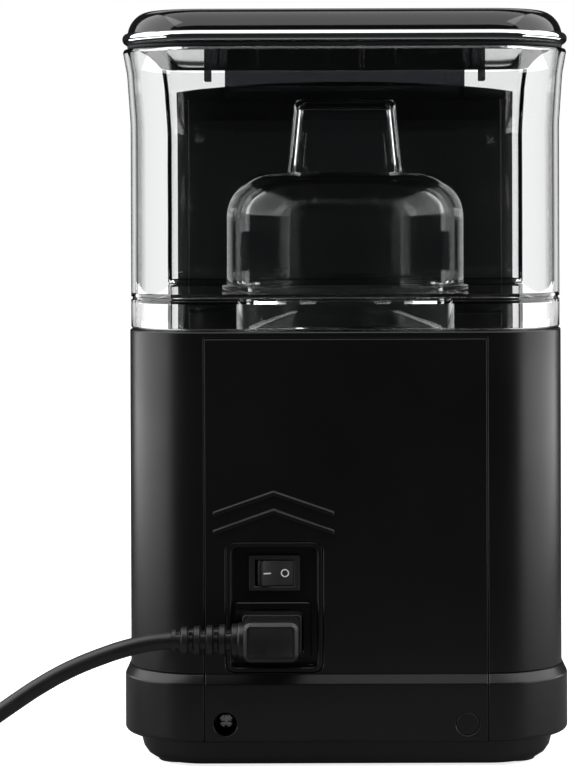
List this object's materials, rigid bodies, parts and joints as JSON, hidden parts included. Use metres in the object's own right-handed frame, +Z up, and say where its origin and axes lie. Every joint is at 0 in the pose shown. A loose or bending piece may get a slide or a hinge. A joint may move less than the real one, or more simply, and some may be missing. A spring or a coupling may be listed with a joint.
{
  "type": "burr coffee grinder",
  "caption": "Upright electric burr coffee grinder with a clear lift-off hopper, gloss lid, pull-out grounds container, rear mains switch and inlet, and a mains lead.",
  "frame": {"origin": "centre of the machine's footprint on the surface it stands on", "axes": "+Z up; the front with its controls faces -Y, the mains inlet and switch are on the rear at +Y; +X is to the right seen from the front"},
  "size_m": [0.3484, 0.2553, 0.3099],
  "materials": {
    "housing": "fine moulded texture",
    "gloss_black": "polished",
    "clear": "clear moulded copolyester",
    "smoke": "smoked clear plastic",
    "chrome": "plated",
    "control_grey": "satin",
    "display": "polished",
    "rubber": "matt",
    "seal": "silicone",
    "cord": "PVC sheath",
    "steel": "ground",
    "burr_steel": "hardened and ground",
    "zinc": "zinc plated",
    "brass": "machined",
    "copper_rotor": "enamelled windings",
    "ferrite": "sintered",
    "gear_plastic": "acetal",
    "gearbox_plastic": "glass-filled nylon",
    "board": "solder-masked laminate",
    "wire": "PVC insulation"
  },
  "bodies": {
    "machine": {"base_pan": "housing", "rubber_feet": "rubber", "case_screws": "zinc", "lower_skirt": "housing", "upper_housing": "housing", "rear_cover": "housing", "screw_cap": "housing", "inlet_panel": "housing", "inlet_socket": "gloss_black", "inlet_pins": "brass", "switch_body": "gloss_black", "front_fascia": "housing", "fascia_back": "housing", "display_lens": "display", "display_board": "board", "button_ring": "chrome", "dial_encoder": "gearbox_plastic", "control_board": "board", "container_bay": "housing", "chute": "gearbox_plastic", "support_pillars": "gearbox_plastic", "gearbox_base": "gearbox_plastic", "gearbox_cover": "gearbox_plastic", "motor_can": "steel", "motor_magnets": "ferrite", "idler_pin": "steel", "shaft_bearings": "steel", "grinding_chamber": "gearbox_plastic", "wiring": "wire", "cord_connector": "cord", "power_cord": "cord", "cord_coil": "cord", "coil_tie": "rubber", "mains_plug": "cord"},
    "hopper": {"hopper": "clear", "hopper_seal": "seal"},
    "bean_guard": {"bean_guard": "clear", "bean_gate": "gearbox_plastic"},
    "lid": {"lid_top": "gloss_black", "lid_trim": "chrome", "lid_seal": "rubber", "lid_liner": "smoke"},
    "burr_drive": {"output_gear": "gear_plastic", "burr_shaft": "steel", "sweeper": "gear_plastic", "lower_burr": "burr_steel", "burr_nut": "steel"},
    "idler": {"idler_gear": "gear_plastic"},
    "motor": {"motor_rotor": "copper_rotor", "motor_pinion": "brass"},
    "adjuster": {"adjuster_ring": "gearbox_plastic", "adjuster_knob": "control_grey"},
    "carrier": {"upper_burr": "burr_steel", "burr_carrier": "gearbox_plastic"},
    "rocker": {"switch_rocker": "gloss_black"},
    "start_button": {"start_button": "control_grey"},
    "dose_dial": {"dose_dial": "control_grey"},
    "container": {"grounds_container": "smoke", "container_handle": "housing", "container_lid": "housing"}
  },
  "joints": [
    {"name": "hopper_lift", "type": "slide", "parent": "machine", "child": "hopper", "axis": [0, 0, 1], "range_m": [0, 0.15]},
    {"name": "guard_turn", "type": "hinge", "parent": "hopper", "child": "bean_guard", "pos_m": [0, 0.007, 0.2], "axis": [0, 0, 1], "range_deg": [0, 60]},
    {"name": "lid_lift", "type": "slide", "parent": "hopper", "child": "lid", "axis": [0, 0, 1], "range_m": [0, 0.08]},
    {"name": "burr_spin", "type": "hinge", "parent": "machine", "child": "burr_drive", "pos_m": [0, 0.007, 0.13], "axis": [0, 0, 1], "continuous": true},
    {"name": "idler_spin", "type": "hinge", "parent": "machine", "child": "idler", "pos_m": [0.00673, 0.04516, 0.11], "axis": [0, 0, 1], "continuous": true},
    {"name": "motor_spin", "type": "hinge", "parent": "machine", "child": "motor", "pos_m": [-0.02358, 0.06266, 0.1], "axis": [0, 0, 1], "continuous": true},
    {"name": "grind_adjust", "type": "hinge", "parent": "machine", "child": "adjuster", "pos_m": [0, 0.007, 0.157], "axis": [0, 0, 1], "range_deg": [-12, 12]},
    {"name": "carrier_lift", "type": "slide", "parent": "machine", "child": "carrier", "axis": [0, 0, 1], "range_m": [-0.0004, 0.0004]},
    {"name": "rocker_switch", "type": "hinge", "parent": "machine", "child": "rocker", "pos_m": [0.0293, 0.1045, 0.0786], "axis": [0, 0, 1], "range_deg": [-16, 0]},
    {"name": "start_press", "type": "slide", "parent": "machine", "child": "start_button", "axis": [0, 1, 0], "range_m": [0, 0.0025], "stiffness_N_per_m": 400, "springref_m": -0.001},
    {"name": "dose_turn", "type": "hinge", "parent": "machine", "child": "dose_dial", "pos_m": [0.03, -0.11, 0.13], "axis": [0, 1, 0], "range_deg": [0, 270]},
    {"name": "container_pull", "type": "slide", "parent": "machine", "child": "container", "axis": [0, -1, 0], "range_m": [0, 0.1]}
  ],
  "couplings": [
    {"joint": "idler_spin", "follows": "burr_spin", "ratio": -3.4286},
    {"joint": "motor_spin", "follows": "burr_spin", "ratio": 10.286},
    {"joint": "carrier_lift", "follows": "grind_adjust", "m_per_rad": 0.0018}
  ]
}
